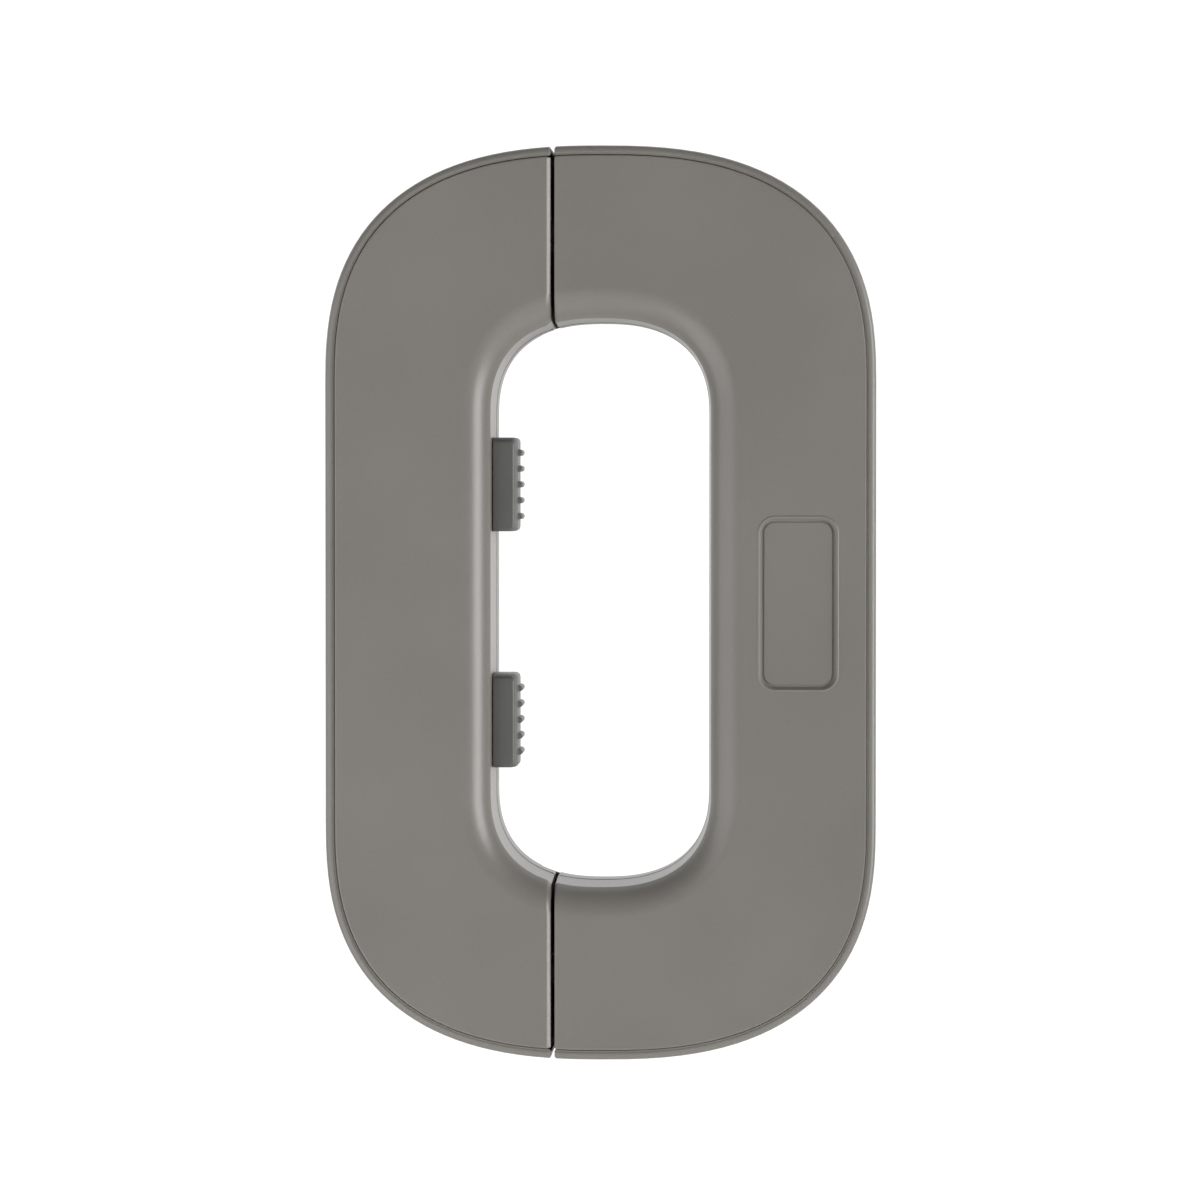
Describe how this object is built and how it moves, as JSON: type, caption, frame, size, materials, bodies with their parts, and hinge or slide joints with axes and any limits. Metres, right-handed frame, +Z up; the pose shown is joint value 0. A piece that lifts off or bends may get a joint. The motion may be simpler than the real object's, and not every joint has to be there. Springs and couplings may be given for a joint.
{
  "type": "refrigerator lock",
  "caption": "Upright grey ring that bridges a double-door gap: two stick-on halves, tongues that cross the door line and thumb bolts that slide through their eyes to hold the doors shut.",
  "frame": {"origin": "on the door surface behind the lock, at the middle of the gap between its halves (the door line), half way up", "axes": "+X to the right across the door line, +Y into the doors (the front faces -Y), +Z up along the ring"},
  "size_m": [0.0904, 0.022, 0.15],
  "materials": {
    "shell_abs": "satin moulded, fine spark texture",
    "cap_abs": "satin moulded, darker grey",
    "filled_nylon": "matt, glass filled",
    "acetal": "smooth, natural white",
    "spring_steel": "bright rolled strip",
    "screw_steel": "zinc plated",
    "foam_tape": "matt closed-cell foam with adhesive faces"
  },
  "bodies": {
    "keeper": {"keeper_cover": "shell_abs", "keeper_tray": "shell_abs", "keeper_pad": "foam_tape", "upper_tongue": "filled_nylon", "lower_tongue": "filled_nylon", "upper_tongue_screw_1": "screw_steel", "upper_tongue_screw_2": "screw_steel", "lower_tongue_screw_1": "screw_steel", "lower_tongue_screw_2": "screw_steel", "keeper_screw_1": "screw_steel", "keeper_screw_2": "screw_steel", "keeper_screw_3": "screw_steel", "keeper_screw_4": "screw_steel"},
    "lock_half": {"lock_cover": "shell_abs", "lock_tray": "shell_abs", "lock_pad": "foam_tape", "upper_detent_spring": "spring_steel", "lower_detent_spring": "spring_steel", "lock_screw_1": "screw_steel", "lock_screw_2": "screw_steel", "lock_screw_3": "screw_steel", "lock_screw_4": "screw_steel"},
    "upper_bolt": {"upper_bolt": "acetal", "upper_thumb_cap": "cap_abs", "upper_cap_screw": "screw_steel"},
    "lower_bolt": {"lower_bolt": "acetal", "lower_thumb_cap": "cap_abs", "lower_cap_screw": "screw_steel"}
  },
  "joints": [
    {"name": "door_opening", "type": "slide", "parent": "keeper", "child": "lock_half", "axis": [0, -1, 0], "range_m": [0, 0.05]},
    {"name": "upper_bolt_slide", "type": "slide", "parent": "lock_half", "child": "upper_bolt", "axis": [0, 0, 1], "range_m": [0, 0.0052], "deforming": ["upper_detent_spring"]},
    {"name": "lower_bolt_slide", "type": "slide", "parent": "lock_half", "child": "lower_bolt", "axis": [0, 0, -1], "range_m": [0, 0.0052], "deforming": ["lower_detent_spring"]}
  ]
}
